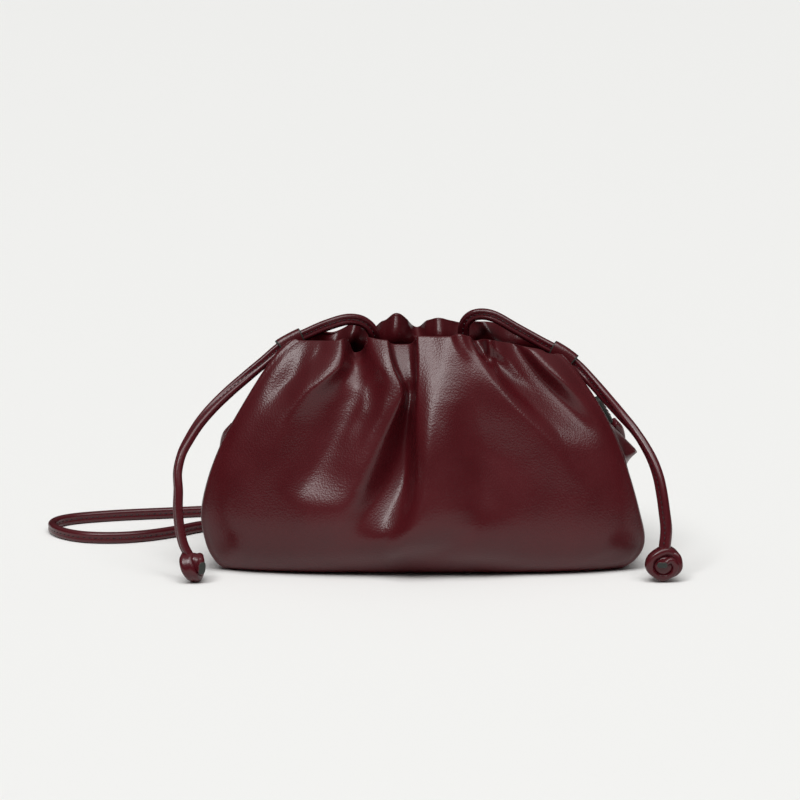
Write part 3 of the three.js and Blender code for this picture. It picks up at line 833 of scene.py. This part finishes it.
shoulderStrap = {
    "wide": 6.0,
    "thick": 4.6,
    "groove": 0.6,
    "stitch": 2.8,
    "step": 1.6,
    "lie": 3.25,
    "down": [(105.2, 35, 44), (102.5, 46, 28), (94.5, 58, 11.5), (78, 63.5, 4.2)],
    "onFloor": [
        (55, 64), (15, 63), (-30, 63), (-75, 64), (-103, 63.5), (-120, 58.3), (-133, 46.8), (-149, 36),
        (-165, 31.2), (-183, 33.6), (-196, 43.8), (-202.6, 57.5), (-201, 69), (-194.5, 76.2), (-174, 84.6),
        (-140, 92.2), (-124, 95.6), (-60, 106), (0, 112), (50, 113), (84, 107), (97, 94), (85, 82), (50, 78),
        (10, 78), (-30, 78),
    ],
    "up": [(-64, 73, 6.4), (-88, 62, 16), (-101.5, 49, 32), (-106, 37, 45)],
    "turns": (0, 0.04, 0.09, 0.13, 0.87, 0.91, 0.96, 1),
    "broad": [
        (0, 1, 0.2), (0, 1, 0.3), (0.3, 0.5, 1), (0, 0, 1),
        (0, 0, 1), (-0.3, 0.5, 1), (0, 1, 0.3), (0, 1, 0.2),
    ],
}


def strapEnd(side):
    foot, up, out = tabSeat(side)
    end = foot + out * tabs["strapOut"] - up * tabs["strapBelow"]
    bendOut, bendBelow, bendBack = tabs["bend"]
    return [tuple(end), tuple(end + out * bendOut - up * bendBelow + Vector((0, bendBack, 0)))]


def addStrap():
    row = shoulderStrap
    floorPoints = [(x, y, row["lie"]) for x, y in row["onFloor"]]
    route = strapEnd("right") + row["down"] + floorPoints + row["up"] + strapEnd("left")[::-1]
    line, length = curveThrough(route, row["step"])
    frames = cordFrames(line, blend(row), untwisted)
    section = rolledSection(row["wide"], row["thick"], row["groove"])
    bm = bmesh.new()
    sweep(bm, frames, section)
    bmesh.ops.recalc_face_normals(bm, faces=bm.faces[:])
    for face in sewAlong(bm, frames, section, row["stitch"]):
        face.material_index = 1
    piece = finishPiece(bm, "shoulderStrap", [rolled, thread], "shoulder_strap")
    return length


strapLength = addStrap()
print("strap laid, mm:", round(strapLength))


# keepers: a sleeve of leather round each drawcord, with painted ends
keepers = {
    "long": 13.2,
    "inner": (7.0, 5.2),
    "outer": (9.0, 7.0),
    "fromKnot": {"left": 138, "right": 120},
    "edgeRound": 0.22,
}


def addKeeper(side, frames, step):
    middle = len(frames) - 1 - int(round(keepers["fromKnot"][side] / step))
    reach = int(round(keepers["long"] / 2 / step))
    stretch = frames[middle - reach:middle + reach + 1]
    bm = bmesh.new()
    skins = []
    for wide, thick in (keepers["outer"], keepers["inner"]):
        skins.append(sweep(bm, stretch, rolledSection(wide, thick, 0), capped=False))
    (outerFirst, outerLast), (innerFirst, innerLast) = skins
    before = set(bm.faces)
    for outerLoop, innerLoop in ((outerFirst, innerFirst), (outerLast, innerLast)):
        bmesh.ops.bridge_loops(bm, edges=ringEdges(bm, outerLoop) + ringEdges(bm, innerLoop))
    ends = set(bm.faces) - before
    painted = ends | {f for loop in (outerFirst, outerLast) for v in loop for f in v.link_faces}
    for face in painted:
        face.material_index = 1
    rims = [e for e in bm.edges if len({f in ends for f in e.link_faces}) == 2]
    bmesh.ops.bevel(bm, geom=rims, offset=keepers["edgeRound"] * mm, affect="EDGES", segments=2, profile=0.5,
                    material=-1)
    bmesh.ops.recalc_face_normals(bm, faces=bm.faces[:])
    return finishPiece(bm, "keeper" + side.title(), [oxblood, edgePaint], "keeper_" + side)


# knots: the end of each cord wound on itself, with its cut end showing
knots = {
    "groove": 0.45,
    "step": 0.7,
    "pinch": 0.4,
    "pinchOver": 8,
    "behindSize": 0.8,
    "behindFacing": (0, -1, 0.1),
    "clear": 0.3,
    "left": {
        "place": (-114.6, -52, 7.4),
        "strip": (7.4, 4.6),
        "cutEnd": 0.9,
        "wound": [
            (-3.6, 0.6, 6.2), (-4.4, -3, 4.2), (-3.4, -5, 0.6), (-1.6, -4.4, -3.6), (0.2, -0.6, -5.2),
            (0.8, 3.8, -3.2), (0.6, 5, 1.4), (0.4, 2.2, 5), (0.8, -2, 5), (1.6, -3.8, 2.8),
            (2.6, -5, 1.6), (3.7, -6.6, 1.2),
        ],
        "broad": [(1, 0, 0.2), (1, 0, 0), (1, 0, 0), (0, 0, 1)],
        "turns": (0, 0.3, 0.84, 0.97),
        "behind": [(-2, 3, 4), (-4.4, 1, 1), (-4.4, 0, -2), (-2, 0, -4.6)],
        "core": (5, 4.8, 5.6),
    },
    "right": {
        "place": (120.3, -52, 8.6),
        "strip": (8.6, 5.4),
        "cutEnd": 0.6,
        "wound": [
            (6.2, 2.4, 3.8), (4.2, 2, 6), (1.2, 1.2, 7.2), (-2.4, 0.2, 6.2), (-6.4, -0.4, 2.8),
            (-6.9, -0.6, -1.8), (-3.6, -0.8, -5.4), (1, -1, -6), (5.2, -1.4, -3.4), (5.9, -1.8, 0.6),
            (3.6, -2.2, 3.3), (0.8, -3, 2.7), (-0.9, -4.6, 1.8), (-1.2, -6.2, 1.5),
        ],
        "broad": [(0, -1, 0), (0, -1, 0), (0, -1, 0), (1, 0, 0)],
        "turns": (0, 0.38, 0.86, 0.974),
        "behind": [(3, 2, 5.4), (6.4, 0.6, 4.6), (7.6, -0.4, 0.6), (6.8, 0, -3.4), (3.6, 1.6, -5)],
        "core": (6.2, 4.6, 5.8),
    },
}


def addKnot(side):
    row = knots[side]
    bm = bmesh.new()
    section = rolledSection(*row["strip"], knots["groove"])
    line, length = curveThrough(row["wound"], knots["step"])
    frames = cordFrames(line, blend(row), untwisted)
    caps = sweep(bm, frames, section, swell=lambda share: 1 + (row["cutEnd"] - 1) * share)
    # a second turn passes behind, and the knot is full inside
    line, length = curveThrough(row["behind"], knots["step"])
    frames = cordFrames(line, lambda share: knots["behindFacing"], untwisted)
    caps += sweep(bm, frames, section, swell=lambda share: knots["behindSize"])
    full = Matrix.Diagonal((*row["core"], 1))
    bmesh.ops.create_uvsphere(bm, u_segments=20, v_segments=12, radius=mm, matrix=full)
    for cap in caps:
        cap.material_index = 1
    bmesh.ops.recalc_face_normals(bm, faces=bm.faces[:])
    for vert in bm.verts:
        low = max(0, -vert.co.z / (knots["pinchOver"] * mm))
        vert.co.xy *= 1 - knots["pinch"] * low ** 2
    bmesh.ops.translate(bm, verts=bm.verts, vec=Vector(row["place"]) * mm)
    for vert in bm.verts:
        vert.co.z = max(vert.co.z, knots["clear"] * mm)
    return finishPiece(bm, "knot" + side.title(), [rolled, edgePaint], "knot_" + side)


for side, (piece, line, length, frames) in cordsMade.items():
    step = length / (len(frames) - 1)
    along = [addKnot(side), addKeeper(side, frames, step)]
print("keepers and knots on the drawcords")
